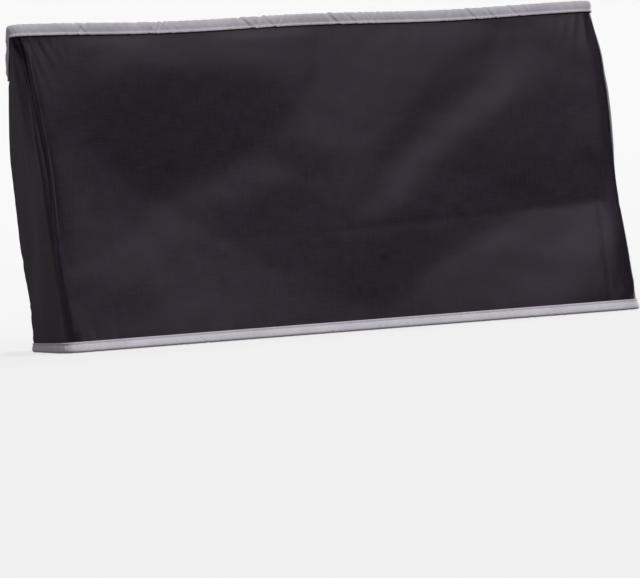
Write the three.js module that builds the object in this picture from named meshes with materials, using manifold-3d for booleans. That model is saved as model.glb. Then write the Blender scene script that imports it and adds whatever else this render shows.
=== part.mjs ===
// A sewn dust cover for a desktop printer: a cloth box, open below, with bound seams.
// Millimetres, +Z up. The cover stands on its hem at Z = 0, centred on X and Y, and its
// front faces -Y. The whole cover but its back lifts at the front, and bends along the
// line where the back panel meets the top seam.

import * as THREE from "three";
import { mergeVertices } from "three/addons/utils/BufferGeometryUtils.js";
import Module from "manifold-3d";

const wasm = await Module();
wasm.setup();

// The cover's overall shape, measured on the outer face of the cloth.
const WIDTH = 474; // across the top, left to right
const DEPTH = 354; // across the top, front to back
const PANEL_HEIGHT = 246; // from the hem to the top panel's upper face
const HEM_FLARE = 6; // how much further out the hem is than the top, on every side
const TOP_CORNER_RADIUS = 10;
const HEM_CORNER_RADIUS = 18;

// The cloth, the tape that binds its edges, and the thread.
const CLOTH = 1;
const TAPE = 0.8;
const THREAD = 0.5;
const CLEARANCE = 0.3; // between any two pieces that touch

// The seams.
const TOP_TAPE_HEIGHT = 9; // the top seam stands up this far above the top panel
const HEM_TAPE_HEIGHT = 9;
const STITCH_INSET = 1.5; // from the tape's open edge to its row of stitches
const SEAM_TO_CORNER = 1; // from an upright seam to where the back corner starts to turn
const SEAM_ALLOWANCE = 6; // the cloth turned inwards at an upright seam

const CORNER_STEPS = 8; // flat facets in a quarter turn

// Distances outwards from the cloth's outer face.
const TAPE_INNER = CLEARANCE;
const TAPE_OUTER = TAPE_INNER + TAPE;
const STITCH_INNER = TAPE_OUTER + CLEARANCE;
const STITCH_OUTER = STITCH_INNER + THREAD;
const RIM_OUTER = -CLOTH - CLEARANCE; // the top panel's turned-up rim, inside the skirt
const RIM_INNER = RIM_OUTER - CLOTH;
const HEM_LEAF_OUTER = -CLOTH - CLEARANCE;
const HEM_LEAF_INNER = HEM_LEAF_OUTER - TAPE;
const TOP_LEAF_OUTER = RIM_INNER - CLEARANCE;
const TOP_LEAF_INNER = TOP_LEAF_OUTER - TAPE;

// Heights.
const SEAM_TOP = PANEL_HEIGHT + TOP_TAPE_HEIGHT;
const CLOTH_TOP = SEAM_TOP - TAPE - CLEARANCE;
const CLOTH_BOTTOM = TAPE + CLEARANCE;
const PANEL_UNDERSIDE = PANEL_HEIGHT - CLOTH;
const ALLOWANCE_BOTTOM = HEM_TAPE_HEIGHT + CLEARANCE;
const ALLOWANCE_TOP = PANEL_UNDERSIDE - CLEARANCE;
const TOP_STITCH = PANEL_HEIGHT + STITCH_INSET;
const HEM_STITCH = HEM_TAPE_HEIGHT - STITCH_INSET;

const nylon = { color: 0x2b282d, roughness: 0.78, metalness: 0 };
const tape = { color: 0xb4b0b8, roughness: 0.8, metalness: 0 };
const greyThread = { color: 0x9a97a0, roughness: 0.7, metalness: 0 };
const blackThread = { color: 0x1c1a1e, roughness: 0.7, metalness: 0 };

// The cloth's outer face at one height: half its width, half its depth, its corner radius.
function outline(z) {
  const down = THREE.MathUtils.clamp(1 - z / PANEL_HEIGHT, 0, 1);
  return {
    halfWidth: WIDTH / 2 + HEM_FLARE * down,
    halfDepth: DEPTH / 2 + HEM_FLARE * down,
    radius: THREE.MathUtils.lerp(TOP_CORNER_RADIUS, HEM_CORNER_RADIUS, down),
  };
}

// A station is a place along the outline: a corner's centre, the direction that faces
// outwards there, and a shift towards the front.
function corner(sideX, sideY, fromTurn) {
  const stations = [];
  for (let step = 0; step <= CORNER_STEPS; step += 1) {
    const angle = (fromTurn + step / CORNER_STEPS / 4) * 2 * Math.PI;
    stations.push({ sideX, sideY, angle, forward: 0 });
  }
  return stations;
}

function seamStation(sideX, forward) {
  return { sideX, sideY: 1, angle: sideX > 0 ? 0 : Math.PI, forward };
}

const frontCorners = [...corner(-1, -1, 0.5), ...corner(1, -1, 0.75)];
const backCorners = [...corner(1, 1, 0), ...corner(-1, 1, 0.25)];
const wholeOutline = [...frontCorners, ...backCorners];

// The front and both sides, up to the two seams, and the back between them.
const WRAP_END = SEAM_TO_CORNER + CLEARANCE / 2;
const BACK_END = SEAM_TO_CORNER - CLEARANCE / 2;
const wrapOutline = [seamStation(-1, WRAP_END), ...frontCorners, seamStation(1, WRAP_END)];
const backOutline = [seamStation(1, BACK_END), ...backCorners, seamStation(-1, BACK_END)];

function pointAt(station, out, z) {
  const { halfWidth, halfDepth, radius } = outline(z);
  return [
    station.sideX * (halfWidth - radius) + (radius + out) * Math.cos(station.angle),
    station.sideY * (halfDepth - radius) + (radius + out) * Math.sin(station.angle) - station.forward,
    z,
  ];
}

function toGeometry(points, triangles) {
  const geometry = new THREE.BufferGeometry();
  geometry.setAttribute("position", new THREE.Float32BufferAttribute(points.flat(), 3));
  geometry.setIndex(triangles.flat());
  return geometry;
}

// A section of [outwards, height] corners, listed anticlockwise, swept along stations that
// run anticlockwise as seen from above. An open sweep gets a flat cap at each end.
function sweep(stations, section, closed) {
  const points = stations.flatMap((station) => section.map(([out, z]) => pointAt(station, out, z)));
  const triangles = [];
  const count = section.length;
  const spans = closed ? stations.length : stations.length - 1;
  for (let span = 0; span < spans; span += 1) {
    const here = span * count;
    const next = ((span + 1) % stations.length) * count;
    for (let side = 0; side < count; side += 1) {
      const after = (side + 1) % count;
      triangles.push([here + side, next + side, next + after]);
      triangles.push([here + side, next + after, here + after]);
    }
  }
  if (!closed) {
    const corners = section.map(([out, z]) => new THREE.Vector2(out, z));
    const last = (stations.length - 1) * count;
    for (const [a, b, c] of THREE.ShapeUtils.triangulateShape(corners, [])) {
      triangles.push([a, b, c]);
      triangles.push([last + a, last + c, last + b]);
    }
  }
  return toGeometry(points, triangles);
}

// Closed loops of points, joined in turn, with a flat fan over the first and the last.
function stack(loops) {
  const points = loops.flat();
  const triangles = [];
  const count = loops[0].length;
  const last = (loops.length - 1) * count;
  const middleOf = (loop) => [0, 1, 2].map((axis) => loop.reduce((sum, p) => sum + p[axis], 0) / count);
  const bottom = points.push(middleOf(loops[0])) - 1;
  const top = points.push(middleOf(loops.at(-1))) - 1;
  for (let side = 0; side < count; side += 1) {
    const after = (side + 1) % count;
    for (let start = 0; start < last; start += count) {
      triangles.push([start + side, start + after, start + count + after]);
      triangles.push([start + side, start + count + after, start + count + side]);
    }
    triangles.push([bottom, after, side]);
    triangles.push([top, last + side, last + after]);
  }
  return toGeometry(points, triangles);
}

// An upright bar beside a seam: how far in from the cloth's face, and how far behind the seam.
function seamBar(sideX, [inFrom, inTo], [behindFrom, behindTo], [bottom, top]) {
  const loopAt = (z) => {
    const { halfWidth, halfDepth, radius } = outline(z);
    const seamY = halfDepth - radius - SEAM_TO_CORNER;
    const loop = [
      [sideX * (halfWidth - inTo), seamY + behindFrom, z],
      [sideX * (halfWidth - inFrom), seamY + behindFrom, z],
      [sideX * (halfWidth - inFrom), seamY + behindTo, z],
      [sideX * (halfWidth - inTo), seamY + behindTo, z],
    ];
    return sideX > 0 ? loop : loop.reverse();
  };
  return stack([loopAt(bottom), loopAt(top)]);
}

function toSolid(geometry) {
  const merged = mergeVertices(geometry);
  return new wasm.Manifold(
    new wasm.Mesh({
      numProp: 3,
      vertProperties: new Float32Array(merged.attributes.position.array),
      triVerts: new Uint32Array(merged.index.array),
    }),
  );
}

function join(...geometries) {
  const mesh = geometries.map(toSolid).reduce((whole, piece) => whole.add(piece)).getMesh();
  const geometry = new THREE.BufferGeometry();
  geometry.setAttribute("position", new THREE.BufferAttribute(mesh.vertProperties, 3));
  geometry.setIndex(new THREE.BufferAttribute(mesh.triVerts, 1));
  return geometry;
}

// Cloth that hangs from one height to another.
function wallSection(bottom, top) {
  return [
    [-CLOTH, bottom],
    [0, bottom],
    [0, PANEL_HEIGHT],
    [0, top],
    [-CLOTH, top],
    [-CLOTH, PANEL_HEIGHT],
  ];
}

// Tape folded over an edge: two leaves and the fold that joins them.
const hemTapeSection = [
  [HEM_LEAF_INNER, 0],
  [TAPE_OUTER, 0],
  [TAPE_OUTER, HEM_TAPE_HEIGHT],
  [TAPE_INNER, HEM_TAPE_HEIGHT],
  [TAPE_INNER, TAPE],
  [HEM_LEAF_OUTER, TAPE],
  [HEM_LEAF_OUTER, HEM_TAPE_HEIGHT],
  [HEM_LEAF_INNER, HEM_TAPE_HEIGHT],
];

const topTapeSection = [
  [TAPE_INNER, PANEL_HEIGHT],
  [TAPE_OUTER, PANEL_HEIGHT],
  [TAPE_OUTER, SEAM_TOP],
  [TOP_LEAF_INNER, SEAM_TOP],
  [TOP_LEAF_INNER, PANEL_HEIGHT + CLEARANCE],
  [TOP_LEAF_OUTER, PANEL_HEIGHT + CLEARANCE],
  [TOP_LEAF_OUTER, SEAM_TOP - TAPE],
  [TAPE_INNER, SEAM_TOP - TAPE],
];

function stitchSection(height) {
  return [
    [STITCH_INNER, height - THREAD / 2],
    [STITCH_OUTER, height - THREAD / 2],
    [STITCH_OUTER, height + THREAD / 2],
    [STITCH_INNER, height + THREAD / 2],
  ];
}

// The top panel is a shallow tray: its edge turns up inside the top seam.
function topPanel() {
  const loop = (out, z) => wholeOutline.map((station) => pointAt(station, out, z));
  return stack([
    loop(RIM_OUTER, PANEL_UNDERSIDE),
    loop(RIM_OUTER, CLOTH_TOP),
    loop(RIM_INNER, CLOTH_TOP),
    loop(RIM_INNER, PANEL_HEIGHT),
  ]);
}

// Front and sides in one length of cloth, its two ends turned inwards at the back seams.
function skirtWrap() {
  const wall = sweep(wrapOutline, wallSection(CLOTH_BOTTOM, CLOTH_TOP), false);
  const ends = [-1, 1].map((side) =>
    seamBar(
      side,
      [CLOTH / 2, CLOTH + SEAM_ALLOWANCE],
      [-CLEARANCE / 2 - CLOTH, -CLEARANCE / 2],
      [ALLOWANCE_BOTTOM, ALLOWANCE_TOP],
    ),
  );
  return join(wall, ...ends);
}

// The back panel takes in both back corners, and stops at the line where it bends.
function backPanel() {
  const section = [
    [-CLOTH, CLOTH_BOTTOM],
    [0, CLOTH_BOTTOM],
    [0, PANEL_HEIGHT - CLEARANCE],
    [-CLOTH, PANEL_HEIGHT - CLEARANCE],
  ];
  const wall = sweep(backOutline, section, false);
  const ends = [-1, 1].map((side) =>
    seamBar(
      side,
      [CLOTH / 2, CLOTH + SEAM_ALLOWANCE],
      [CLEARANCE / 2, CLEARANCE / 2 + CLOTH],
      [ALLOWANCE_BOTTOM, ALLOWANCE_TOP],
    ),
  );
  return join(wall, ...ends);
}

// The thread that closes an upright seam lies behind the two turned-in edges.
function seamStitch(side) {
  const behind = CLEARANCE / 2 + CLOTH + CLEARANCE;
  const inwards = CLOTH + SEAM_ALLOWANCE / 2;
  return seamBar(
    side,
    [inwards - THREAD / 2, inwards + THREAD / 2],
    [behind, behind + THREAD],
    [ALLOWANCE_BOTTOM, ALLOWANCE_TOP],
  );
}

const cover = new THREE.Group();

function add(name, geometry, look) {
  const mesh = new THREE.Mesh(geometry, new THREE.MeshStandardMaterial(look));
  mesh.name = name;
  cover.add(mesh);
}

add("top_panel", topPanel(), nylon);
add("skirt_wrap", skirtWrap(), nylon);
add("back_panel", backPanel(), nylon);
add("top_binding", sweep(wholeOutline, topTapeSection, true), tape);
add("top_stitch", sweep(wholeOutline, stitchSection(TOP_STITCH), true), greyThread);
add("hem_binding", sweep(wrapOutline, hemTapeSection, false), tape);
add("hem_stitch", sweep(wrapOutline, stitchSection(HEM_STITCH), false), greyThread);
add("back_hem_binding", sweep(backOutline, hemTapeSection, false), tape);
add("back_hem_stitch", sweep(backOutline, stitchSection(HEM_STITCH), false), greyThread);
add("left_seam_stitch", seamStitch(-1), blackThread);
add("right_seam_stitch", seamStitch(1), blackThread);

export default cover;
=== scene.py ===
# %% [markdown]
# # A sewn dust cover for a desktop printer
#
# The object is a box of black woven nylon, open below. Light grey tape binds its two
# edges: the seam that stands up round the top, and the hem. This lesson builds the
# cover the way a sewing room does, from cut cloth, tape and thread. The first step
# loads the measured frame, and every size below comes from it or is named beside it.

# %% Load the frame
import math

import bpy
import numpy as np
from mathutils import Matrix, Vector, geometry, noise


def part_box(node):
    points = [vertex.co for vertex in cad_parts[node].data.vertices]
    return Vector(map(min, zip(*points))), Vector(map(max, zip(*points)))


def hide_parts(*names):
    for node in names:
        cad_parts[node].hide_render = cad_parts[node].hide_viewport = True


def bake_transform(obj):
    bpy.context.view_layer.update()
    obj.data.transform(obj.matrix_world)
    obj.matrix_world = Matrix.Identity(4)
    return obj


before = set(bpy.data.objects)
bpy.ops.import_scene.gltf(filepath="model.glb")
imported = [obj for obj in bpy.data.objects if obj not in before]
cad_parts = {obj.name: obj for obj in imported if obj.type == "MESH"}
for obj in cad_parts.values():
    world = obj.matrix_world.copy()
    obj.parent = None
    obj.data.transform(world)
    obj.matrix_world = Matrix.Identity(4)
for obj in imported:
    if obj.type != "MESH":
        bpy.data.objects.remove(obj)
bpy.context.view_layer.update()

MM = 0.001

# %% [markdown]
# ## The cover's outline
#
# The cover is a rectangle with rounded corners, and it gets a little wider from the top
# seam to the hem. Cloth, tape and thread all follow that outline, so it is written
# once, as a function of height. The half sizes come from the two tapes' boxes, less the
# distance that a tape stands off the cloth.

# %% Sizes of the outline
TAPE_STANDS = 1.1 * MM
TOP_RADIUS = 10 * MM
HEM_RADIUS = 18 * MM

top_low, top_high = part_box("top_binding")
hem_low, hem_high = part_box("hem_binding")
skirt_low, skirt_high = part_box("skirt_wrap")

PANEL_Z = top_low.z
SEAM_Z = top_high.z
HEM_Z = hem_high.z
TOP_HALF = np.array([top_high.x, top_high.y]) - TAPE_STANDS
HEM_HALF = np.array([hem_high.x, -hem_low.y]) - TAPE_STANDS
SEAM_BEFORE_CORNER = TOP_HALF[1] - TOP_RADIUS - skirt_high.y
print("top half sizes, mm:", (TOP_HALF / MM).round(1), "panel height:", round(PANEL_Z / MM, 1))


# %% A point on the outline
def outline(z):
    down = np.clip(1 - z / PANEL_Z, 0, 1)
    radius = TOP_RADIUS + (HEM_RADIUS - TOP_RADIUS) * down
    half_x, half_y = (TOP_HALF[i] + (HEM_HALF[i] - TOP_HALF[i]) * down for i in (0, 1))
    return half_x, half_y, radius


def place(stations, out, z):
    """Points `out` beyond the cloth's face at height z, one for each station."""
    from_x, from_y, to_x, to_y, share, angle = stations.T
    half_x, half_y, radius = outline(z)
    x = (from_x + (to_x - from_x) * share) * (half_x - radius) + (radius + out) * np.cos(angle)
    y = (from_y + (to_y - from_y) * share) * (half_y - radius) + (radius + out) * np.sin(angle)
    return np.stack(np.broadcast_arrays(x, y, z), axis=-1)


print("corner radius half way up, mm:", round(outline(PANEL_Z / 2)[2] / MM, 1))

# %% [markdown]
# An empty cloth box never stands quite square. This one leans a little to the left at
# the top, stands a little taller there, and the hem's front left corner is tucked in.
# That is one change of shape for all its pieces, made last, so tape and thread stay on
# their cloth.

# %% How the whole cover settles
LEAN = -15 * MM
LEANS_LESS_BEHIND = 0.4
TALLER = 8 * MM
TUCK = 18 * MM


def settle(points):
    """The leaning shape: each point moves by how high, how far left and how far forward it is."""
    x, y, z = np.moveaxis(points, -1, 0)
    up = np.clip(z / PANEL_Z, 0, 1.05)
    to_left = np.clip((HEM_HALF[0] - x) / (2 * HEM_HALF[0]), 0, 1)
    to_front = np.clip((HEM_HALF[1] - y) / (2 * HEM_HALF[1]), 0, 1)
    down = np.clip(1 - up, 0, 1)
    lean = LEAN * up * (1 - LEANS_LESS_BEHIND * to_left * (1 - to_front))
    tucked = TUCK * to_left ** 2 * to_front * down ** 1.2
    return np.stack([x + lean + tucked, y, z + TALLER * to_left ** 1.2 * up ** 1.5], axis=-1)


top_left = np.array([-TOP_HALF[0], -TOP_HALF[1], PANEL_Z])
print("the top's front left corner moves, mm:", ((settle(top_left) - top_left) / MM).round(1))

# %% [markdown]
# A station is a place on the outline: the corners that it lies between, how far along,
# and the way that it faces. Close to a corner the stations are close together, because
# cloth that is eased round a corner needs many small folds.

# %% Stations along the straights and round the corners
COARSE = 2.6 * MM
FINE = 1.3 * MM
NEAR_CORNER = 40 * MM
CORNER_STATIONS = 16
FRONT_LEFT, FRONT_RIGHT, BACK_RIGHT, BACK_LEFT = (-1, -1), (1, -1), (1, 1), (-1, 1)


def straight(a, b, angle, length, step, first=0.0, last=1.0):
    """Stations from corner a to corner b, close together at both ends."""
    near = NEAR_CORNER / length
    fine = round(NEAR_CORNER / FINE)
    middle = round((length - 2 * NEAR_CORNER) / step)
    shares = np.concatenate([
        np.linspace(0, near, fine, endpoint=False),
        np.linspace(near, 1 - near, middle, endpoint=False),
        np.linspace(1 - near, 1, fine),
    ])
    shares = np.unique(np.clip(shares, first, last))
    return [(*a, *b, share, angle) for share in shares]


def turn(corner, start):
    """Stations of a quarter turn, without the two that the straights end with."""
    angles = start + np.linspace(0, math.pi / 2, CORNER_STATIONS + 2)[1:-1]
    return [(*corner, *corner, 0.0, angle) for angle in angles]


LONG, DEEP = 2 * (TOP_HALF - TOP_RADIUS)
CUT = SEAM_BEFORE_CORNER / DEEP


def go_round(step):
    """Stations of the skirt, and of the back, both ending at the two upright seams."""
    pi = math.pi
    left = straight(BACK_LEFT, FRONT_LEFT, pi, DEEP, step, first=CUT)
    front = straight(FRONT_LEFT, FRONT_RIGHT, 1.5 * pi, LONG, step)
    right = straight(FRONT_RIGHT, BACK_RIGHT, 2 * pi, DEEP, step, last=1 - CUT)
    back = straight(BACK_RIGHT, BACK_LEFT, 2.5 * pi, LONG, step)
    right_end = [(*FRONT_RIGHT, *BACK_RIGHT, share, 2 * pi) for share in (1 - CUT, 1)]
    left_end = [(*BACK_LEFT, *FRONT_LEFT, share, 3 * pi) for share in (0, CUT)]
    skirt = [*left, *turn(FRONT_LEFT, pi), *front, *turn(FRONT_RIGHT, 1.5 * pi), *right]
    rest = [*right_end, *turn(BACK_RIGHT, 2 * pi), *back, *turn(BACK_LEFT, 2.5 * pi), *left_end]
    return np.array(skirt, float), np.array(rest, float)


WRAP, BACK = go_round(COARSE)
print("stations:", len(WRAP), "round the front,", len(BACK), "round the back")


# %% Distance along the cloth
def along(stations):
    """How far each station is from the first, half way up the cloth."""
    points = place(stations, 0.0, PANEL_Z / 2)[:, :2]
    return np.concatenate([[0], np.cumsum(np.linalg.norm(np.diff(points, axis=0), axis=1))])


wrap_s = along(WRAP)
HALF_WRAP = wrap_s[-1] / 2
wrap_s = wrap_s - HALF_WRAP
back_s = HALF_WRAP + along(BACK)
ROUND = back_s[-1] + HALF_WRAP
MIDDLE_RADIUS = (TOP_RADIUS + HEM_RADIUS) / 2
HALF_TURN = MIDDLE_RADIUS * math.pi / 4
FRONT_CORNER = (TOP_HALF[0] + HEM_HALF[0]) / 2 - MIDDLE_RADIUS + HALF_TURN
print("once round the cover, mm:", round(ROUND / MM))

# %% [markdown]
# ## How cloth remembers its packet
#
# Black nylon looks flat until it has been folded. The cover was stored folded, so each
# panel is a set of nearly flat facets that meet at soft creases. The front's facets are
# listed one by one, because they are what a buyer sees: each fold point has a place on
# the panel and a height. The sides, the back and the top get facets at random, from a
# fixed seed. Facets come from a triangulation of the fold points, which is then blurred,
# because cloth never bends to a true edge. Noise alone would look like putty.

# %% The front panel's fold points: across, up, and outwards, in mm
FRONT_FOLDS = [
    # a wide hollow in the upper left, from under the seam down to one low point
    (-212, 233, 0.4), (-150, 221, 0.8), (-95, 217, 1.0), (-49, 213, 1.2), (-15, 181, -0.6),
    (-187, 201, -2.4), (-184, 153, -7.6), (-139, 113, -13.0), (-95, 130, -10.6), (-53, 147, -6.8),
    # below it the cloth comes out again, then hangs straight
    (-205, 122, -6.6), (-165, 92, -12.4), (-105, 104, -9.4), (-60, 120, -4.4), (-14, 153, 0.6),
    (-19, 127, -1.6), (-96, 82, -9.2), (-45, 82, -4.6), (8, 81, 0.4), (2, 206, 1.0),
    # two ridges and a valley that run down from the upper right corner
    (130, 224, 1.2), (76, 180, 1.6), (30, 137, 1.8), (140, 198, 0.4), (91, 164, 0.2),
    (43, 121, 0.4), (190, 226, 0.8), (214, 229, 1.6), (156, 176, 3.0), (106, 146, 3.0), (58, 101, 2.8),
    (203, 196, 1.0), (205, 150, -2.0), (223, 92, -5.2), (150, 86, -3.4), (60, 84, 1.4),
    # under the level crease: a hollow in the middle, and a bulge at the right
    (61, 42, -2.4), (31, 12, -4.0), (-9, 31, -3.4), (7, 55, -0.8), (100, 62, -1.4),
    (164, 50, 2.0), (212, 46, 3.6), (231, 58, 0.0), (104, 14, 1.0), (180, 12, 5.2), (216, 14, 4.6),
    (-50, 54, -5.4), (-150, 46, -10.0), (-98, 40, -7.4), (-60, 12, -5.2),
]
FRONT_HEM = (0.0, -7.0, -6.0, -4.0, 1.2, 5.0, 0.0)


RIM_STEPS = 6
NO_HEM = (0.0,) * (RIM_STEPS + 1)


def facets(folds, low, high, at_a, at_z, hem=NO_HEM):
    """Heights between fold points, on flat triangles; zero along the other three edges."""
    at_a, at_z = np.broadcast_arrays(at_a, at_z)
    (a0, z0), (a1, z1) = low, high
    rim = [(a0 + (a1 - a0) * i / RIM_STEPS, z0, height * MM) for i, height in enumerate(hem)]
    rim += [(a0 + (a1 - a0) * i / RIM_STEPS, z1, 0.0) for i in range(RIM_STEPS + 1)]
    rim += [(a, z0 + (z1 - z0) * t, 0.0) for t in (0.25, 0.5, 0.75) for a in (a0, a1)]
    flat = [(a, z) for a, z, _ in [*folds, *rim]]
    heights = [height for _, _, height in [*folds, *rim]]
    found = geometry.delaunay_2d_cdt([Vector(p) for p in flat], [], [], 0, 1e-6)
    corners, triangles, source = found[0], found[2], found[3]
    result = np.zeros(at_a.shape)
    for triangle in triangles:
        (ax, ay), (bx, by), (cx, cy) = (corners[i] for i in triangle)
        ha, hb, hc = (heights[source[i][0]] for i in triangle)
        area = (bx - ax) * (cy - ay) - (cx - ax) * (by - ay)
        if abs(area) < 1e-12:
            continue
        u = ((at_a - ax) * (cy - ay) - (cx - ax) * (at_z - ay)) / area
        v = ((bx - ax) * (at_z - ay) - (at_a - ax) * (by - ay)) / area
        inside = (u >= -1e-6) & (v >= -1e-6) & (u + v <= 1 + 1e-6)
        result[inside] = (ha + u * (hb - ha) + v * (hc - ha))[inside]
    return result


def random_folds(seed, low, high, spacing, height):
    """Fold points on a loose grid, each one shifted and raised or sunk at random."""
    dice = np.random.default_rng(seed)
    (a0, z0), (a1, z1) = low, high
    folds = []
    for a in np.arange(a0 + spacing / 2, a1 - spacing / 4, spacing):
        for z in np.arange(z0 + spacing / 2, z1 - spacing / 4, spacing):
            shift = dice.uniform(-0.32, 0.32, 2) * spacing
            folds.append((a + shift[0], z + shift[1], dice.uniform(-1, 1) * height))
    return folds


print("fold points on the front:", len(FRONT_FOLDS))


# %% Softening the facets, and pressing a crease
CREASE_ROUNDING = 0.8 * MM


def soften(heights, rows, columns):
    """A blur over the grid; rows and columns are its reach, in grid steps."""
    for axis, reach in ((0, rows), (1, columns)):
        half = int(3 * reach) + 1
        weights = np.exp(-0.5 * (np.arange(-half, half + 1) / reach) ** 2)
        weights /= weights.sum()
        ends = [(half, half) if i == axis else (0, 0) for i in (0, 1)]
        padded = np.pad(heights, ends, mode="edge")
        heights = np.apply_along_axis(np.convolve, axis, padded, weights, mode="valid")
    return heights


def crease(at_a, at_z, start, end, height, width):
    """A fold line pressed into the cloth: sharp at its middle, and gone past its ends."""
    (ax, az), (bx, bz) = start, end
    length = math.hypot(bx - ax, bz - az)
    tx, tz = (bx - ax) / length, (bz - az) / length
    t = (at_a - ax) * tx + (at_z - az) * tz
    side = (at_a - ax) * tz - (at_z - az) * tx
    past = np.maximum(np.maximum(-t, t - length), 0)
    away = np.sqrt(side ** 2 + CREASE_ROUNDING ** 2)
    return height * np.exp(-away / width) * np.exp(-(past / (2 * width)) ** 2)


# %% [markdown]
# ## Helpers for cloth
#
# A piece of cloth is a grid of points, with the weave's own coordinates kept as a UV
# map in metres. The grid is the cloth's outer face. Solidify then gives it its
# thickness inwards, which keeps the measured outer size true. A grid is quicker to make
# than a modelled mesh, and every fold can be written as a height over it.

# %% From a grid of points to a mesh
CLOTH = 0.5 * MM
TAPE = 0.55 * MM


def smoothstep(x):
    x = np.clip(x, 0, 1)
    return x * x * (3 - 2 * x)


def mesh_object(name, vertices, faces, looks, corner_uv=None):
    mesh = bpy.data.meshes.new(name)
    mesh.from_pydata(vertices, [], faces)
    if corner_uv is not None:
        layer = mesh.uv_layers.new(name="weave")
        layer.data.foreach_set("uv", corner_uv.reshape(-1).astype(np.float32))
    mesh.polygons.foreach_set("use_smooth", [True] * len(mesh.polygons))
    for look in looks:
        mesh.materials.append(look)
    obj = bpy.data.objects.new(name, mesh)
    bpy.context.scene.collection.objects.link(obj)
    return obj


def grid_object(name, points, uv, looks, closed=False):
    """A grid of points as a mesh; a closed one's last column is its first."""
    rows, columns = points.shape[:2]
    if closed:
        points = points[:, :-1]
        columns -= 1
    index = np.arange(rows * columns).reshape(rows, columns)
    after = np.roll(index, -1, axis=1) if closed else index[:, 1:]
    here = index if closed else index[:, :-1]
    quads = np.stack([here[:-1], after[:-1], after[1:], here[1:]], axis=-1).reshape(-1, 4)
    corner_uv = np.stack([uv[:-1, :-1], uv[:-1, 1:], uv[1:, 1:], uv[1:, :-1]], axis=2)
    settled = settle(points).reshape(-1, 3)
    return mesh_object(name, settled.tolist(), quads.tolist(), looks, corner_uv)


# %% Giving a grid its thickness
def apply_modifiers(obj):
    """Swaps the mesh for the one that the modifiers make, and takes them off."""
    bpy.context.view_layer.update()
    solid = bpy.data.meshes.new_from_object(obj.evaluated_get(bpy.context.evaluated_depsgraph_get()))
    obj.modifiers.clear()
    old, obj.data = obj.data, solid
    bpy.data.meshes.remove(old)
    solid.name = obj.name


def thicken(obj, thickness, inner_look=0):
    """Adds an inner face, whose look is inner_look places after the outer face's."""
    solidify = obj.modifiers.new("thickness", "SOLIDIFY")
    solidify.thickness = thickness
    solidify.offset = -1
    solidify.material_offset = inner_look
    apply_modifiers(obj)


def grid_normals(points):
    """Unit normals of a grid, from its neighbours; they face the way its faces do."""
    across = np.gradient(points, axis=1)
    up = np.gradient(points, axis=0)
    normals = np.cross(across, up)
    return normals / np.maximum(np.linalg.norm(normals, axis=2, keepdims=True), 1e-12)


# %% Waves and wandering heights
def wander(at_a, at_b, reach, height, seed):
    """Smooth unevenness: `reach` is the size of a swell, `height` how far it stands out."""
    a, b = np.broadcast_arrays(at_a, at_b)
    places = zip((a / reach).ravel(), (b / reach).ravel())
    values = [noise.noise((x, y, 7.3 * seed + 0.5)) for x, y in places]
    return 2 * height * np.array(values).reshape(a.shape)


SEAM_RISE = 0.9 * MM
RISE_LENGTH_X = 230 * MM
RISE_LENGTH_Y = 190 * MM


def seam_rise(x, y):
    """How far the top seam wanders up and down, because the cloth pulls on it."""
    along_x = SEAM_RISE * (np.cos(2 * math.pi * x / RISE_LENGTH_X) - 1)
    along_y = SEAM_RISE * np.sin(2 * math.pi * y / RISE_LENGTH_Y + 0.6)
    return along_x + along_y * smoothstep(np.abs(x) / TOP_HALF[0])


def seam_lean(x, y, z):
    """How far the standing seam leans outwards at height z."""
    at_top = MM * (1.5 + 0.5 * np.sin(x / (47 * MM) + 0.7) + 0.4 * np.sin((x + y) / (26 * MM) + 2.1))
    return at_top * np.clip((z - PANEL_Z) / (SEAM_Z - PANEL_Z), 0, 1)


# %% [markdown]
# ## The skirt: front and sides in one length
#
# The skirt is one strip of nylon that runs from the left back seam round the front to
# the right back seam. Its shape is a sum of things that happen to sewn cloth: it puffs
# out under the stiff top seam, it keeps its fold lines, it is gathered where it is eased
# round a corner, and it puckers along each row of stitches. Each of those is a few
# lines below, so that each can be changed alone. A cloth simulation was the other way,
# but it can't be told where the packet's creases lie.

# %% Folds pressed into the skirt: start, end, height in mm
FRONT_CREASES = [
    ((-96, 82), (8, 81), -0.25), ((8, 81), (221, 91), -0.55), ((11, 110), (-9, 9), 0.45),
    ((9, 243), (-5, 176), -0.45), ((221, 90), (217, 10), -0.6), ((-16, 150), (8, 82), -0.35),
    ((226, 12), (238, 24), 0.9),
]
CREASE_WIDTH = 2.4 * MM
SIDE_CREASE_Z = 88 * MM
SIDE_FACET = 78 * MM
SIDE_FOLD = 5.5 * MM
SOFT_ROWS, SOFT_COLUMNS = 2.0, 2.2
# beside the left corner: back from the corner, up, and outwards, in mm
LEFT_HOLLOW = [(16, 236, -2.0), (30, 206, -7.5), (34, 160, -5.0), (20, 118, -0.5), (58, 190, -1.0)]


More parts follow.
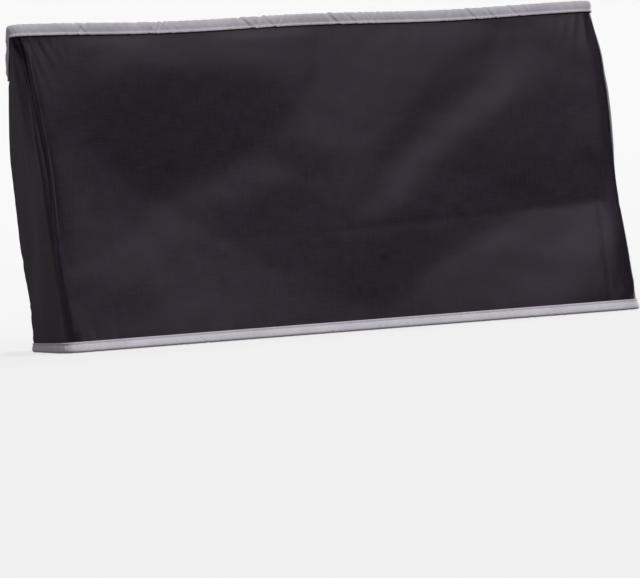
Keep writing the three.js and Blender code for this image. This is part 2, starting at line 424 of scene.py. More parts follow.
def packing_folds(s, z):
    """Facets of the front and of both sides, softened, with their creases on top."""
    corner = FRONT_CORNER
    front = [(a * MM, b * MM, h * MM) for a, b, h in FRONT_FOLDS]
    left_end = -corner - 60 * MM
    left_side = random_folds(11, (-HALF_WRAP, 0), (left_end, PANEL_Z), SIDE_FACET, SIDE_FOLD)
    left_side += [(-corner - a * MM, b * MM, h * MM) for a, b, h in LEFT_HOLLOW]
    right_side = random_folds(12, (corner, 0), (HALF_WRAP, PANEL_Z), SIDE_FACET, SIDE_FOLD)
    heights = facets(front, (-corner, 0), (corner, PANEL_Z), s, z, FRONT_HEM)
    heights += facets(left_side, (-HALF_WRAP, 0), (-corner, PANEL_Z), s, z)
    heights += facets(right_side, (corner, 0), (HALF_WRAP, PANEL_Z), s, z)
    heights = soften(heights, SOFT_ROWS, SOFT_COLUMNS)
    for start, end, height in FRONT_CREASES:
        ends = [(a * MM, b * MM) for a, b in (start, end)]
        heights += crease(s, z, *ends, height * MM, CREASE_WIDTH)
    for side in (-1, 1):
        middle = side * (corner + HALF_WRAP) / 2
        level = [(side * corner, SIDE_CREASE_Z), (side * HALF_WRAP, SIDE_CREASE_Z - 4 * MM)]
        upright = [(middle, 0), (middle + 5 * MM, PANEL_Z)]
        for line, height in ((level, -0.8 * MM), (upright, 0.9 * MM)):
            heights += crease(s, z, *line, height, CREASE_WIDTH)
    return heights


# %% Gathers, puckers and the puff under the top seam
PUFF = 1.2 * MM
CORNER_SWELL = 5.2 * MM
SWELL_BEHIND_CORNER = 12 * MM
GATHER = 1.5 * MM
GATHER_PITCH = 7.5 * MM
PUCKER = 0.3 * MM
PUCKER_PITCH = 9 * MM


def corner_gathers(s, below, corners):
    """Small folds that fan out below the top seam where cloth is eased round a corner."""
    heights = np.zeros(np.broadcast(s, below).shape)
    for corner, strength in corners:
        spread = 1 + below / (55 * MM)
        turns = math.pi * (s - corner) / (GATHER_PITCH * spread) + 40 * corner
        waves = 1 - 2 * np.abs(np.sin(turns)) ** 0.7
        fade = np.exp(-below / (24 * MM)) * (1 - np.exp(-below / (3 * MM)))
        heights += strength * GATHER * waves * fade * np.exp(-((s - corner) / (24 * MM)) ** 2)
    return heights


def stitch_puckers(s, away, reach, seed):
    """Short uneven ripples beside a row of stitches; `away` is the distance from it."""
    row = wander(s, 0 * s, 23 * MM, 1.0, seed)
    waves = np.sin(2 * math.pi * s / PUCKER_PITCH + 5 * row) * (0.6 + row)
    return PUCKER * waves * np.exp(-np.maximum(away, 0) / reach)


def puff(s, below):
    """The swell under the stiff top seam, and a larger one round the right front corner."""
    swell = PUFF * (1 - np.exp(-below / (10 * MM))) * np.exp(-below / (150 * MM))
    at_corner = np.exp(-((s - FRONT_CORNER - SWELL_BEHIND_CORNER) / (26 * MM)) ** 2)
    fading = np.exp(-(np.maximum(below - 35 * MM, 0) / (65 * MM)) ** 2)
    corner_swell = CORNER_SWELL * smoothstep(below / (38 * MM)) * fading
    return swell * (0.72 + 0.5 * wander(s, 0 * s, 120 * MM, 1.0, 3)) + at_corner * corner_swell


# %% Cloth beside an upright seam
SEAM_DIP = 1.1 * MM
SEAM_RIPPLE = 0.5 * MM


def seam_dip(s, z, seams, seed):
    """Cloth turns in at an upright seam, and ripples a little beside it."""
    heights = np.zeros(np.broadcast(s, z).shape)
    for seam in seams:
        away = np.abs(s - seam)
        drift = 4 * wander(z, 0 * z, 30 * MM, 1.0, seed)
        ripple = SEAM_RIPPLE * np.sin(2 * math.pi * z / (13 * MM) + drift)
        dip = SEAM_DIP * np.exp(-(away / (2.2 * MM)) ** 2)
        heights += ripple * np.exp(-away / (9 * MM)) - dip
    return heights


# %% The front's two upright edges
EDGE_RIDGE = 1.7 * MM
LEFT_EDGE_FORWARD = (3 * MM, 13 * MM)
LEFT_EDGE_HOLLOW = 7.5 * MM


def edge_ridge(s, z, line):
    """A fold line that stands out, and dies away at the hem and under the seam."""
    ridge = np.exp(-np.abs(s - line) / (2.6 * MM))
    above_hem = smoothstep((z - HEM_Z) / (10 * MM))
    below_seam = smoothstep((PANEL_Z - z) / (12 * MM))
    return EDGE_RIDGE * ridge * above_hem * below_seam


def left_edge(s, z):
    """At the left the fold line runs in front of the corner, which falls away behind it."""
    low, high = LEFT_EDGE_FORWARD
    line = -FRONT_CORNER + low + (high - low) * smoothstep((z - 50 * MM) / (110 * MM))
    behind = line - s
    hollow = smoothstep(behind / (8 * MM)) * np.exp(-np.maximum(behind - 12 * MM, 0) / (26 * MM))
    upper = smoothstep((z - 20 * MM) / (130 * MM)) * smoothstep((PANEL_Z - z) / (20 * MM))
    return edge_ridge(s, z, line) - LEFT_EDGE_HOLLOW * hollow * upper


# %% Cutting and hanging a panel of the skirt
ROW = 2.9 * MM
CLOTH_BOTTOM = skirt_low.z
CLOTH_TOP = skirt_high.z
ALLOWANCE = 6 * MM
ALLOWANCE_INSIDE_TAPE = 0.9 * MM
ALLOWANCE_SHARES = np.array([1.0, 0.66, 0.33])


def hang(stations, z, out):
    """Points of hanging cloth; the standing seam's rise carries the cloth below it."""
    x, y = np.moveaxis(place(stations, 0.0, PANEL_Z), -1, 0)[:2]
    points = place(stations, out + seam_lean(x, y, z), z)
    carried = smoothstep((z - PANEL_Z + 60 * MM) / (60 * MM))
    points[..., 2] += carried * seam_rise(points[..., 0], points[..., 1])
    return points


def panel_out(s, z, folds, corners, seams, seed):
    """How far a panel stands out: the sum of all that happens to its cloth."""
    below = np.maximum(PANEL_Z - z, 0)
    free = smoothstep(below / (9 * MM))
    fixed = np.maximum(z, HEM_Z)
    heights = puff(s, below) + free * (folds(s, fixed) + wander(s, fixed, 85 * MM, 1.1 * MM, seed))
    heights += free * wander(s, fixed, 16 * MM, 0.13 * MM, seed + 1)
    heights += corner_gathers(s, below, corners) + seam_dip(s, fixed, seams, seed)
    heights += stitch_puckers(s, below, 8 * MM, seed) * smoothstep(below / (2 * MM))
    heights += 0.5 * stitch_puckers(s, z - HEM_Z, 10 * MM, seed + 2)
    return heights


def with_allowances(points, uv, shift_y):
    """Two ends turned inwards beside the seams, less deep inside the hem's tape."""
    z = points[:, :1, 2]
    above_tape = smoothstep((z - HEM_Z) / (6 * MM))
    below_seam = smoothstep((PANEL_Z - 2 * MM - z) / (6 * MM))
    depth = ALLOWANCE_INSIDE_TAPE + ALLOWANCE * above_tape * below_seam
    shares = ALLOWANCE_SHARES
    ends = []
    for column, order in ((0, shares), (-1, shares[::-1])):
        edge = points[:, [column]]
        inwards = -np.sign(edge[..., :1]) * np.array([1.0, 0, 0])
        turned = [edge + inwards * (depth * share)[..., None] + [0, shift_y * share, 0] for share in order]
        ends.append(np.concatenate(turned, axis=1))
    widths = ALLOWANCE * shares
    count = len(shares)
    first = np.stack([uv[:, :1, 0] - widths, np.repeat(uv[:, :1, 1], count, axis=1)], axis=-1)
    last = np.stack([uv[:, -1:, 0] + widths[::-1], np.repeat(uv[:, -1:, 1], count, axis=1)], axis=-1)
    whole = np.concatenate([ends[0], points, ends[1]], axis=1)
    return whole, np.concatenate([first, uv, last], axis=1)


# %% The skirt's own grid
rows = np.linspace(CLOTH_BOTTOM, CLOTH_TOP, round((CLOTH_TOP - CLOTH_BOTTOM) / ROW))[:, None]
wrap_across = wrap_s[None, :]
wrap_seams = (-HALF_WRAP, HALF_WRAP)
# a place along the cloth, and how strongly it is gathered there
front_corners = ((-FRONT_CORNER, 1.6), (FRONT_CORNER, 0.5))
wrap_out = panel_out(wrap_across, rows, packing_folds, front_corners, wrap_seams, seed=21)
wrap_out += left_edge(wrap_across, rows) + edge_ridge(wrap_across, rows, FRONT_CORNER)
wrap_points = hang(WRAP, rows, wrap_out)
stands_out = (wrap_out / MM).round(1)
print("skirt grid:", wrap_points.shape[:2], "stands out, mm:", stands_out.min(), "to", stands_out.max())

# %% [markdown]
# ## Finishes
#
# Three kinds of finish cover the whole object: black nylon, grey tape and thread. Nylon
# for covers is a plain weave of thick yarn with a waterproof coat on its inner face. Both
# weaves are made from the UV map, which is in metres, so yarns keep their true size on
# every piece. Colour varies a little from yarn to yarn and over each panel, and the
# nylon is smooth enough for its folds to read by their shine. The two tapes are one tape
# in two copies: the top seam's is painted darker, as painted shade, and the hem's is
# painted lighter, as painted light. An image would do the same, but it would repeat,
# and it would have to come from somewhere.

# %% A material and its node helpers
def new_look(name, **values):
    """A material whose shader has the given values; a name's spaces are written as _."""
    look = bpy.data.materials.new(name)
    look.use_nodes = True
    shader = look.node_tree.nodes["Principled BSDF"]
    for socket, value in values.items():
        shader.inputs[socket.replace("_", " ")].default_value = value
    return look, shader


def node(look, kind, inputs=None, **settings):
    made = look.node_tree.nodes.new(kind)
    for name, value in settings.items():
        setattr(made, name, value)
    for name, value in (inputs or {}).items():
        if isinstance(value, bpy.types.NodeSocket):
            look.node_tree.links.new(value, made.inputs[name])
        else:
            made.inputs[name].default_value = value
    return made


def into(shader, **results):
    """Links node results into the shader's sockets."""
    for socket, result in results.items():
        shader.id_data.links.new(result, shader.inputs[socket.replace("_", " ")])


def stretched(look, value, low, high, to_low=0.0, to_high=1.0):
    """A value's range from low to high, spread over another range."""
    ends = {"From Min": low, "From Max": high, "To Min": to_low, "To Max": to_high}
    return node(look, "ShaderNodeMapRange", {"Value": value, **ends}).outputs["Result"]


def mixed_colour(look, factor, a, b):
    inputs = {"Factor": factor, "A": a, "B": b}
    return node(look, "ShaderNodeMix", inputs, data_type="RGBA").outputs["Result"]


def cloudy(look, coordinates, **values):
    """A cloudy pattern; its scale is in swells for each metre of cloth."""
    inputs = {"Vector": coordinates, **values}
    return node(look, "ShaderNodeTexNoise", inputs).outputs["Fac"]


def raised(look, height, strength, distance):
    inputs = {"Height": height, "Strength": strength, "Distance": distance}
    return node(look, "ShaderNodeBump", inputs).outputs["Normal"]


# %% Yarns of a plain weave
ONE_BAND_A_CELL = math.pi / 10


def weave_nodes(look, pitch, turned=0.0):
    """Height of the yarns, and a number that changes from yarn to yarn."""
    coordinates = node(look, "ShaderNodeUVMap", uv_map="weave").outputs["UV"]
    mapping = node(look, "ShaderNodeMapping", {"Vector": coordinates, "Scale": (1 / pitch,) * 3})
    mapping.inputs["Rotation"].default_value = (0, 0, turned)
    cells = mapping.outputs["Vector"]
    bands = []
    for direction in ("X", "Y"):
        # at scale 1 the bands of a wave texture are pi / 10 apart
        inputs = {"Vector": cells, "Scale": ONE_BAND_A_CELL, "Distortion": 0.0}
        band = node(look, "ShaderNodeTexWave", inputs,
                    wave_type="BANDS", bands_direction=direction, wave_profile="SIN")
        bands.append(band.outputs["Fac"])
    over = node(look, "ShaderNodeTexChecker", {"Vector": cells, "Scale": 1.0}).outputs["Fac"]
    height = node(look, "ShaderNodeMix", {"Factor": over, "A": bands[0], "B": bands[1]}).outputs["Result"]
    slubs = []
    for stretch in ((0.06, 0.9, 1.0), (0.9, 0.06, 1.0)):
        long_cells = node(look, "ShaderNodeMapping", {"Vector": cells, "Scale": stretch}).outputs["Vector"]
        slubs.append(cloudy(look, long_cells, Scale=1.0, Detail=2.0))
    yarn = node(look, "ShaderNodeMix", {"Factor": over, "A": slubs[0], "B": slubs[1]}).outputs["Result"]
    return height, yarn, coordinates


# %% Black nylon, and its coated inner face
NYLON_PITCH = 0.8 * MM


def nylon(name, light, dark, roughness, yarn_depth, sheen):
    look, shader = new_look(name, Sheen_Weight=sheen, Sheen_Roughness=0.45, Specular_IOR_Level=0.2,
                            Specular_Tint=(0.97, 0.86, 1.0, 1))
    height, yarn, coordinates = weave_nodes(look, NYLON_PITCH)
    shade = stretched(look, yarn, 0.35, 0.65)
    worn = cloudy(look, coordinates, Scale=9.0, Detail=4.0)
    patch = stretched(look, worn, 0.35, 0.7, 0.93, 1.1)
    woven = mixed_colour(look, shade, dark, light)
    colour = node(look, "ShaderNodeVectorMath", {0: woven, "Scale": patch}, operation="SCALE")
    # the weave hides its own gloss from a low angle
    slant = node(look, "ShaderNodeLayerWeight", {"Blend": 0.35}).outputs["Facing"]
    rough = stretched(look, slant, 0.2, 1.0, roughness, min(1, roughness + 0.28))
    rougher = node(look, "ShaderNodeMath", {0: shade, 1: 0.12, 2: rough}, operation="MULTIPLY_ADD")
    thick = node(look, "ShaderNodeMath", {0: yarn, 1: 1.6, 2: height}, operation="MULTIPLY_ADD")
    normal = raised(look, thick.outputs["Value"], 1.0, yarn_depth)
    into(shader, Base_Color=colour.outputs["Vector"], Roughness=rougher.outputs["Value"], Normal=normal)
    return look


NYLON = nylon("black_nylon", (0.0130, 0.0095, 0.0162, 1), (0.0025, 0.0018, 0.0032, 1),
              roughness=0.43, yarn_depth=0.055 * MM, sheen=0.0)
NYLON_COAT = nylon("coated_inner_face", (0.0150, 0.0140, 0.0165, 1), (0.0115, 0.0105, 0.0125, 1),
                   roughness=0.40, yarn_depth=0.04 * MM, sheen=0.01)
print("nylon:", NYLON.name, "and its coat:", NYLON_COAT.name)

# %% Grey binding tape, woven on the slant
TAPE_PITCH = 0.55 * MM


def binding_tape(name, dark, light):
    look, shader = new_look(name, Roughness=0.82, Sheen_Weight=0.25, Sheen_Roughness=0.5)
    height, yarn, coordinates = weave_nodes(look, TAPE_PITCH, turned=math.radians(45))
    grime = cloudy(look, coordinates, Scale=34.0, Detail=5.0, Roughness=0.6)
    both = node(look, "ShaderNodeMath", {0: yarn, 1: grime}, operation="ADD")
    shade = stretched(look, both.outputs["Value"], 0.75, 1.25)
    normal = raised(look, height, 0.4, 0.12 * MM)
    into(shader, Base_Color=mixed_colour(look, shade, dark, light), Normal=normal)
    return look


# %% Thread, with its twist
def thread(name, light, dark):
    look, shader = new_look(name, Roughness=0.6, Sheen_Weight=0.2)
    coordinates = node(look, "ShaderNodeUVMap", uv_map="weave").outputs["UV"]
    inputs = {"Vector": coordinates, "Scale": 900.0, "Distortion": 0.4}
    twist = node(look, "ShaderNodeTexWave", inputs, wave_type="BANDS", bands_direction="DIAGONAL")
    height = twist.outputs["Fac"]
    normal = raised(look, height, 0.5, 0.08 * MM)
    # the twist's grooves get the dark colour and its crests the light one: painted shade in the grooves
    into(shader, Base_Color=mixed_colour(look, height, dark, light), Normal=normal)
    return look


# one tape in two copies: the top seam's is painted darker, as painted shade, and the hem's painted lighter,
# as painted light
TOP_BINDING = binding_tape("grey_tape_painted_shade", (0.28, 0.265, 0.298, 1), (0.38, 0.360, 0.402, 1))
HEM_BINDING = binding_tape("grey_tape_painted_light", (0.325, 0.311, 0.342, 1), (0.42, 0.402, 0.439, 1))
GREY_THREAD = thread("grey_sewing_thread", (0.38, 0.365, 0.41, 1), (0.26, 0.25, 0.285, 1))
BLACK_THREAD = thread("black_sewing_thread", (0.020, 0.018, 0.022, 1), (0.011, 0.010, 0.012, 1))
print("finishes:", TOP_BINDING.name, HEM_BINDING.name, GREY_THREAD.name, BLACK_THREAD.name)

# %% [markdown]
# ## Cutting the cloth
#
# Three pieces of nylon: the skirt, the back panel and the top.


def bends(obj):
    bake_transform(obj)


# %% The skirt
SEAM_GAP = 0.35 * MM


def cloth_uv(s, z):
    return np.stack(np.broadcast_arrays(s, z), axis=-1)


def nylon_piece(name, points, uv):
    piece = grid_object(name, points, uv, [NYLON, NYLON_COAT])
    thicken(piece, CLOTH, inner_look=1)
    return piece


skirt_points, skirt_uv = with_allowances(wrap_points, cloth_uv(wrap_across, rows), -SEAM_GAP)
skirt_cloth = nylon_piece("skirt_cloth", skirt_points, skirt_uv)
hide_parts("skirt_wrap")
bends(skirt_cloth)


# %% The back panel
BACK_FACET = 82 * MM


def back_folds(s, z):
    edge = HALF_WRAP + HALF_TURN
    low, high = (edge, 0), (ROUND - edge, PANEL_Z)
    folds = random_folds(31, low, high, BACK_FACET, SIDE_FOLD)
    heights = soften(facets(folds, low, high, s, z), SOFT_ROWS, SOFT_COLUMNS)
    middle = ROUND / 2
    for start, end, height in (
        ((edge, 84 * MM), (ROUND - edge, 90 * MM), -1.0 * MM),
        ((middle - 6 * MM, 0), (middle + 3 * MM, PANEL_Z), 0.9 * MM),
    ):
        heights += crease(s, z, start, end, height, CREASE_WIDTH)
    return heights


past_seam = HALF_TURN + SEAM_BEFORE_CORNER
back_corners = ((HALF_WRAP + past_seam, 0.8), (ROUND - HALF_WRAP - past_seam, 0.8))
back_across = back_s[None, :]
back_seams = (HALF_WRAP, ROUND - HALF_WRAP)
back_out = panel_out(back_across, rows, back_folds, back_corners, back_seams, seed=41)
back_points = hang(BACK, rows, back_out)
back_points, back_uv = with_allowances(back_points, cloth_uv(back_across, rows), SEAM_GAP)
back_cloth = nylon_piece("back_cloth", back_points, back_uv)
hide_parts("back_panel")
bends(back_cloth)

# %% [markdown]
# ## The top panel
#
# The top is a flat piece with rounded corners. It is a plain grid whose corners are
# pulled in to a quarter circle, which keeps the weave straight. Its edge turns up
# inside the standing seam, and between the edges it sags a little and keeps the
# packet's folds.

# %% A grid with rounded corners
panel_low, panel_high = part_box("top_panel")
PANEL_HALF = np.array([panel_high.x, panel_high.y])
PANEL_RADIUS = TOP_RADIUS - (TOP_HALF[0] - PANEL_HALF[0])
TOP_STEP = 3 * MM
TOP_EDGE = 12 * MM
TOP_EDGE_STEPS = 8


def rounded(x, y):
    """A rectangle's points, moved so that its corners become quarter circles."""
    inner = PANEL_HALF - PANEL_RADIUS
    a = np.clip((np.abs(x) - inner[0]) / PANEL_RADIUS, 0, 1)
    b = np.clip((np.abs(y) - inner[1]) / PANEL_RADIUS, 0, 1)
    in_corner = (a > 0) & (b > 0)
    new_x = np.sign(x) * (inner[0] + PANEL_RADIUS * a * np.sqrt(1 - b * b / 2))
    new_y = np.sign(y) * (inner[1] + PANEL_RADIUS * b * np.sqrt(1 - a * a / 2))
    return np.where(in_corner, new_x, x), np.where(in_corner, new_y, y)


def edge_spaced(half, step):
    """Steps across the panel, closer together where its edge turns up."""
    inner = np.linspace(-half + TOP_EDGE, half - TOP_EDGE, round(2 * half / step))
    edge = np.linspace(half - TOP_EDGE, half, TOP_EDGE_STEPS + 1)[1:]
    return np.concatenate([-edge[::-1], inner, edge])


top_x, top_y = np.meshgrid(edge_spaced(PANEL_HALF[0], TOP_STEP), edge_spaced(PANEL_HALF[1], TOP_STEP))
from_side = PANEL_HALF[0] - np.abs(top_x)
from_front = PANEL_HALF[1] - np.abs(top_y)
from_edge = np.minimum(from_side, from_front)
print("top panel grid:", top_x.shape)

# %% The top's facets, creases and edge ripples
TOP_FACET = 88 * MM
TOP_FOLD = 3.0 * MM
TOP_SOFT = 1.8
TOP_RIPPLE = 0.45 * MM

panel_ends = (tuple(-PANEL_HALF), tuple(PANEL_HALF))
top_folds = random_folds(51, *panel_ends, TOP_FACET, TOP_FOLD)
relief = soften(facets(top_folds, *panel_ends, top_x, top_y), TOP_SOFT, TOP_SOFT)
for start, end, height in (
    ((-2 * MM, -PANEL_HALF[1]), (4 * MM, PANEL_HALF[1]), 1.0 * MM),
    ((-PANEL_HALF[0], -58 * MM), (PANEL_HALF[0], -62 * MM), -0.9 * MM),
    ((-PANEL_HALF[0], 66 * MM), (PANEL_HALF[0], 61 * MM), 0.8 * MM),
):
    relief += crease(top_x, top_y, start, end, height, CREASE_WIDTH)
relief += wander(top_x, top_y, 80 * MM, 1.2 * MM, 52) + wander(top_x, top_y, 15 * MM, 0.12 * MM, 53)
along_edge = np.where(from_side < from_front, top_y, top_x)
drift = 5 * wander(top_x, top_y, 30 * MM, 1.0, 54)
ripples = np.sin(2 * math.pi * along_edge / (11 * MM) + drift)
relief += TOP_RIPPLE * ripples * np.exp(-from_edge / (10 * MM))
print("top relief, mm:", (relief / MM).min().round(1), "to", (relief / MM).max().round(1))

# %% The top cloth
TOP_SAG = 3.5 * MM
TURNED_UP = 7.5 * MM
BELOW_PANEL = 0.3 * MM

sag = TOP_SAG * (1 - (top_x / PANEL_HALF[0]) ** 4) * (1 - (top_y / PANEL_HALF[1]) ** 4)
x, y = rounded(top_x, top_y)
loose = smoothstep(from_edge / (14 * MM))
turned_up = TURNED_UP * np.exp(-from_edge / (1.0 * MM))
carried = seam_rise(x, y) * smoothstep(1 - from_edge / (70 * MM))
z = PANEL_Z - BELOW_PANEL + turned_up + loose * (relief - sag) + carried
rim = np.stack([x, y], axis=-1)
outwards = rim - np.clip(rim, PANEL_RADIUS - PANEL_HALF, PANEL_HALF - PANEL_RADIUS)
outwards /= np.maximum(np.linalg.norm(outwards, axis=-1, keepdims=True), PANEL_RADIUS)
x, y = np.moveaxis(rim + outwards * seam_lean(x, y, PANEL_Z + turned_up)[..., None], -1, 0)
top_cloth = nylon_piece("top_cloth", np.stack([x, y, z], axis=-1), cloth_uv(top_x, top_y))
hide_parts("top_panel")
bends(top_cloth)

# %% [markdown]
# ## Binding tape
#
# Tape is folded over an edge and sewn through, so its section is a long narrow U that
# is pinched at the stitches and swells between them. It is cut on the slant, which is
# why it twists into small diagonal puckers. The section is a smooth line through a few
# points, swept round the cover, and the puckers move it in and out.

# %% The section of each tape: outwards and up, in mm
TOP_TAPE = [(1.0, -0.25), (1.55, 0.05), (1.65, 0.55), (1.2, 1.15), (0.75, 1.75), (0.95, 2.9), (1.25, 4.6),
            (1.2, 6.6), (0.7, 8.2), (-0.6, 9.0), (-1.9, 8.8), (-2.9, 7.4), (-3.3, 5.2), (-3.1, 3.0),
            (-2.6, 1.6), (-2.9, 0.5)]
HEM_TAPE = [(-1.6, 9.0), (-1.15, 7.6), (-1.6, 6.0), (-1.8, 4.0), (-1.6, 2.0), (-0.9, 0.8), (0.0, 0.65),
            (0.9, 1.1), (1.9, 2.2), (1.9, 4.0), (1.4, 6.0), (0.7, 7.3), (0.95, 8.0), (1.3, 8.6),
            (1.15, 9.1)]
TAPE_STEP = 1.0 * MM
STITCH_INSET = 1.5 * MM
SECTION_POINTS = 27


def smooth_line(points, count):
    """A Catmull-Rom curve through the points, at even steps of its length."""
    p = np.array([points[0], *points, points[-1]]) * MM
    t = np.linspace(0, 1, 12, endpoint=False)[:, None]
    pieces = []
    for a, b, c, d in zip(p, p[1:], p[2:], p[3:]):
        piece = 2 * b + (c - a) * t
        piece = piece + (2 * a - 5 * b + 4 * c - d) * t ** 2
        piece = piece + (3 * b - a - 3 * c + d) * t ** 3
        pieces.append(0.5 * piece)
    curve = np.concatenate([*pieces, p[-1:]])
    length = np.concatenate([[0], np.cumsum(np.linalg.norm(np.diff(curve, axis=0), axis=1))])
    even = np.linspace(0, length[-1], count)
    return np.stack([np.interp(even, length, curve[:, i]) for i in (0, 1)], axis=-1), even


# %% Slanted creases in the tape
TUCKS = 190
TAPE_RIPPLE = 0.1 * MM
TAPE_RIPPLE_PITCH = 6.5 * MM


def tape_creases(s, across, seed):
    """A few sharp tucks in uneven bunches, and a soft ripple."""
    dice = np.random.default_rng(seed)
    places = dice.uniform(s.min(), s.max(), TUCKS)
    bunched = wander(places, 0 * places, 60 * MM, 1.0, seed)
    places = places[bunched > 0.0]
    slants = np.where(dice.random(len(places)) < 0.75, 0.95, -0.6)
    widths = dice.uniform(0.7, 1.2, len(places)) * MM
    depths = dice.uniform(0.2, 1.0, len(places)) * MM
    creases = np.zeros(np.broadcast(s, across).shape)
    for middle, slant, width, depth in zip(places, slants, widths, depths):
        away = s + slant * across - middle
        beside = 0.45 * np.exp(-((away - 2 * width) / (2 * width)) ** 2)
        creases += depth * (beside - np.exp(-np.abs(away) / width))
    drift = 4 * wander(s, 0 * s, 30 * MM, 1.0, seed)
    ripple = np.sin(2 * math.pi * (s + 0.5 * across) / TAPE_RIPPLE_PITCH + drift)
    return creases + TAPE_RIPPLE * ripple


def sweep_tape(name, section, base_z, out_of, look, creased, seed):
    """Tape round the whole cover; out_of says how far out it stands at each place."""
    wrap, rest = go_round(TAPE_STEP)
    ring = np.concatenate([wrap, rest[1:]])
    s = along(ring) - HALF_WRAP
    line, across = smooth_line(section, SECTION_POINTS)
    out, z = line[:, :1], base_z + line[:, 1:]
    x, y = np.moveaxis(place(ring, 0.0, PANEL_Z), -1, 0)[:2]
    points = place(ring, out + out_of(s) + seam_lean(x, y, z), z)
    if base_z > HEM_Z:
        points[..., 2] += seam_rise(points[..., 0], points[..., 1])
    pinch = np.minimum(np.abs(across - STITCH_INSET), np.abs(across[-1] - STITCH_INSET - across))
    held = smoothstep(0.3 + pinch / (2 * MM))[:, None]
    depths = creased * held * tape_creases(s[None, :], across[:, None], seed)
    points += grid_normals(points) * depths[..., None]
    points[:, -1] = points[:, 0]
    obj = grid_object(name, points, cloth_uv(s[None, :], across[:, None]), [look], closed=True)
    thicken(obj, TAPE)
    return obj, points, across


# %% The tape over the top seam
def no_shift(s):
    return 0 * s


top_tape, top_tape_points, top_across = sweep_tape(
    "top_tape", TOP_TAPE, PANEL_Z, no_shift, TOP_BINDING, creased=1.0, seed=61)
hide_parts("top_binding")
bends(top_tape)
print("top tape, mm long:", round(ROUND / MM), "wide:", round(top_across[-1] / MM, 1))


# %% The tape over the hem
def hem_shift(s):
    """How far the cloth's hem stands out, so that the tape follows it."""
    at = np.abs(rows - HEM_Z).argmin()
    known_s = np.concatenate([wrap_s, back_s[1:]])
    known = np.concatenate([wrap_out[at], back_out[at, 1:-1], wrap_out[at, :1]])
    return np.interp(s, known_s, known)


hem_tape, hem_tape_points, hem_across = sweep_tape(
    "hem_tape", HEM_TAPE, 0.0, hem_shift, HEM_BINDING, creased=0.4, seed=71)
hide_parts("hem_binding", "back_hem_binding")
bends(hem_tape)
print("hem tape, mm wide:", round(hem_across[-1] / MM, 1))

# %% [markdown]
# ## Stitches
#
# A row of lockstitch is a line of separate short threads, each of which dives into the
# cloth at both ends. A bump pattern would vanish from the side, so every stitch is a
# small tube of its own. The tubes of one row are one piece.

# %% One row of stitches
STITCH_PITCH = 3.3 * MM
STITCH_LENGTH = 2.5 * MM
THREAD_RADIUS = 0.24 * MM
SIDES = 6
# one stitch: how far along it, how high above the cloth in mm, and how thick
STITCH_SHAPE = [(0.0, -0.30, 0.7), (0.12, 0.02, 0.95), (0.5, 0.16, 1.0), (0.88, 0.02, 0.95),
                (1.0, -0.30, 0.7)]


def stitch_tubes(path, facing):
    """Rings of points for every stitch of a row, and how far along the row each ring is."""
    shares, heights, sizes = np.array(STITCH_SHAPE).T
    length = np.concatenate([[0], np.cumsum(np.linalg.norm(np.diff(path, axis=0), axis=1))])
    count = int(length[-1] / STITCH_PITCH)
    starts = (np.arange(count) + 0.15) * length[-1] / count
    at = starts[:, None] + STITCH_LENGTH * shares
    spot = np.stack([np.interp(at, length, path[:, i]) for i in range(3)], axis=-1)
    up = np.stack([np.interp(at, length, facing[:, i]) for i in range(3)], axis=-1)
    up /= np.linalg.norm(up, axis=-1, keepdims=True)
    side = np.cross(np.gradient(spot, axis=1), up)
    side /= np.linalg.norm(side, axis=-1, keepdims=True)
    middle = spot + up * (MM * heights)[None, :, None]
    around = np.arange(SIDES)[:, None] * 2 * math.pi / SIDES
    ring = side[:, :, None, :] * np.cos(around) + up[:, :, None, :] * np.sin(around)
    radius = THREAD_RADIUS * sizes[None, :, None, None]
    return middle[:, :, None, :] + radius * ring, at


def stitches(name, rows_of_points, look):
    """Tubes along each row; a row is points on a surface and the way that it faces."""
    vertices, faces, uvs = [], [], []
    for path, facing in rows_of_points:
        tubes, at = stitch_tubes(path, facing)
        first = sum(len(v) for v in vertices)
        vertices.append(tubes.reshape(-1, 3))
        shape = tubes.shape[:3]
        index = first + np.arange(math.prod(shape)).reshape(shape)
        after = np.roll(index, -1, axis=2)
        quads = np.stack([index[:, :-1], after[:, :-1], after[:, 1:], index[:, 1:]], axis=-1)
        faces += quads.reshape(-1, 4).tolist()
        faces += index[:, 0, ::-1].tolist() + index[:, -1].tolist()
        turned = np.broadcast_to(np.arange(SIDES) * THREAD_RADIUS, shape)
        uvs.append(cloth_uv(at[:, :, None], turned).reshape(-1, 2))
    uv = np.concatenate(uvs)[[v for face in faces for v in face]]
    settled = settle(np.concatenate(vertices))
    return mesh_object(name, settled.tolist(), faces, [look], uv)


# %% Stitches on both faces of a tape
def tape_rows(points, across):
    """The two rows of a tape, one on each face, along its pinched lines."""
    facing = grid_normals(points)
    picks = [np.abs(across - d).argmin() for d in (STITCH_INSET, across[-1] - STITCH_INSET)]
    return [(points[pick], facing[pick]) for pick in picks]


for name, points, across, nodes in (
    ("top_seam_stitches", top_tape_points, top_across, ("top_stitch",)),
    ("hem_stitches", hem_tape_points, hem_across, ("hem_stitch", "back_hem_stitch")),
):
    row = stitches(name, tape_rows(points, across), GREY_THREAD)
    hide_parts(*nodes)
    bends(row)
    print(name, "faces:", len(row.data.polygons))

# %% Stitches of the two upright seams, through the turned-in edges
seam_rows = {"left": -2, "right": 1}
for side, column in seam_rows.items():
    inner = back_points[:, column]
    keep = (inner[:, 2] > HEM_Z + 3 * MM) & (inner[:, 2] < PANEL_Z - 6 * MM)
    path = inner[keep] + [0, CLOTH, 0]
    facing = np.tile([0.0, 1.0, 0.0], (len(path), 1))
    front_path = path - [0, 2 * CLOTH + 0.7 * MM, 0]
    row = stitches(f"{side}_seam_stitches", [(path, facing), (front_path, -facing)], BLACK_THREAD)
    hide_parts(f"{side}_seam_stitch")
    bends(row)
    print(row.name, "stitches at x, mm:", round(float(path[0, 0]) / MM))

# %% The pieces of cloth and tape
print("sheets declared:", [piece.name for piece in (skirt_cloth, back_cloth, top_cloth, top_tape, hem_tape)])

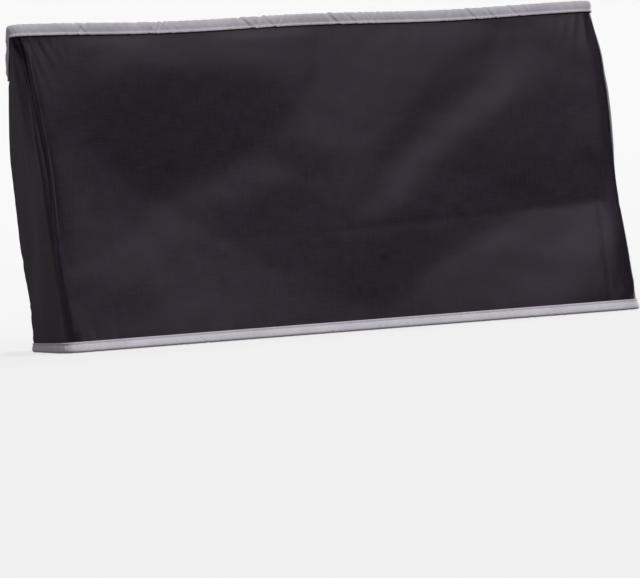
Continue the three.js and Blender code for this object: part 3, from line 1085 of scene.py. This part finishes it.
# %% [markdown]
# ## The studio
#
# Black cloth shows its folds only where it shines, so the lights are placed by the shine.
# The key light stands in front, 36 degrees up: a fold that leans back sends it to the
# camera, and one that leans forward stays dark. Three weaker lights from low down do
# the same for the back and the sides, and a pale room fills in. The floor is a round
# bowl of white paper, so no edge shows from any side. Softbox lamps were the other way,
# but a sun lights every place alike, however large the cover is.

# %% Floor and wall in one round sweep
STAGE_RADIUS = 6.0
STAGE_BEND = 1.5
STAGE_TOP = 3.0
STAGE_SIDES = 96
STAGE_BEND_STEPS = 17

bend_angles = np.linspace(0, math.pi / 2, STAGE_BEND_STEPS)
bend = [(STAGE_RADIUS + STAGE_BEND * math.sin(a), STAGE_BEND * (1 - math.cos(a))) for a in bend_angles]
profile = [(1.0, 0.0), (3.0, 0.0), *bend, (STAGE_RADIUS + STAGE_BEND, STAGE_TOP)]
angles = np.arange(STAGE_SIDES) * 2 * math.pi / STAGE_SIDES
stage_points = [(0, 0, 0)] + [(r * math.cos(a), r * math.sin(a), z) for r, z in profile for a in angles]
stage_faces = [(0, 1 + i, 1 + (i + 1) % STAGE_SIDES) for i in range(STAGE_SIDES)]
for ring in range(len(profile) - 1):
    lower, upper = 1 + ring * STAGE_SIDES, 1 + (ring + 1) * STAGE_SIDES
    for i in range(STAGE_SIDES):
        after = (i + 1) % STAGE_SIDES
        stage_faces.append((lower + i, upper + i, upper + after, lower + after))
stage_look, _ = new_look("stage_paper", Base_Color=(0.13, 0.13, 0.13, 1), Roughness=0.9,
                         Specular_IOR_Level=0.0, Emission_Color=(1, 1, 1, 1), Emission_Strength=0.73)
sweep = mesh_object("stage_sweep", stage_points, stage_faces, [stage_look])
print("the paper reaches, m:", STAGE_RADIUS + STAGE_BEND)

# the paper's own glow stays on the paper, so that it doesn't light the cloth from below
paper_only = bpy.data.collections.new("paper_only")
paper_only.objects.link(sweep)
sweep.light_linking.receiver_collection = paper_only
sweep.visible_shadow = False


# %% Lights
ROOM_LIGHT = 0.18


def soft_sun(name, towards, strength, spread, colour=(1, 1, 1)):
    """A sun that shines towards a direction; its spread, in degrees, softens its shadows."""
    light = bpy.data.lights.new(name, "SUN")
    light.energy = strength
    light.color = colour
    light.angle = math.radians(spread)
    obj = bpy.data.objects.new(name, light)
    obj.rotation_euler = Vector(towards).to_track_quat("-Z", "Y").to_euler()
    bpy.context.scene.collection.objects.link(obj)


soft_sun("key_light", (-0.11, 0.80, -0.59), 3.3, 12)
soft_sun("back_light", (-0.68, -0.71, -0.18), 2.6, 30)
soft_sun("left_light", (0.66, 0.69, -0.30), 0.7, 30)
soft_sun("left_back_light", (0.66, -0.69, -0.30), 0.35, 30, colour=(1.0, 0.82, 1.0))
world = bpy.data.worlds.new("pale_room")
world.use_nodes = True
background = world.node_tree.nodes["Background"]
background.inputs["Color"].default_value = (1, 1, 1, 1)
background.inputs["Strength"].default_value = ROOM_LIGHT
bpy.context.scene.world = world
bpy.context.scene.view_settings.view_transform = "Standard"
print("lights:", [light.name for light in bpy.data.lights])

# %% [markdown]
# ## The camera
#
# The camera is just above the floor, a little to the left of the front, and tipped a
# few degrees, so the cover's front fills the picture and its left side shows as a
# narrow strip.

# %% Placing the camera
CAMERA_TURN = -8.2
CAMERA_RISE = -0.43
CAMERA_ROLL = -4.4
CAMERA_DISTANCE = 2.2
CAMERA_AIM = Vector((0.005, 0.0, 0.038))
LENS = 141.2
SENSOR_WIDTH = 36.0

turned_by, risen_by = math.radians(CAMERA_TURN), math.radians(CAMERA_RISE)
level_part = math.cos(risen_by)
away = Vector((math.sin(turned_by) * level_part, -math.cos(turned_by) * level_part, math.sin(risen_by)))
camera_data = bpy.data.cameras.new("camera")
camera_data.lens = LENS
camera_data.sensor_width = SENSOR_WIDTH
camera = bpy.data.objects.new("camera", camera_data)
camera.location = CAMERA_AIM + away * CAMERA_DISTANCE
level = (-away).to_track_quat("-Z", "Y").to_matrix()
camera.rotation_euler = (level @ Matrix.Rotation(math.radians(CAMERA_ROLL), 3, "Z")).to_euler()
bpy.context.scene.collection.objects.link(camera)
bpy.context.scene.camera = camera
print("camera height, mm:", round(camera.location.z / MM))
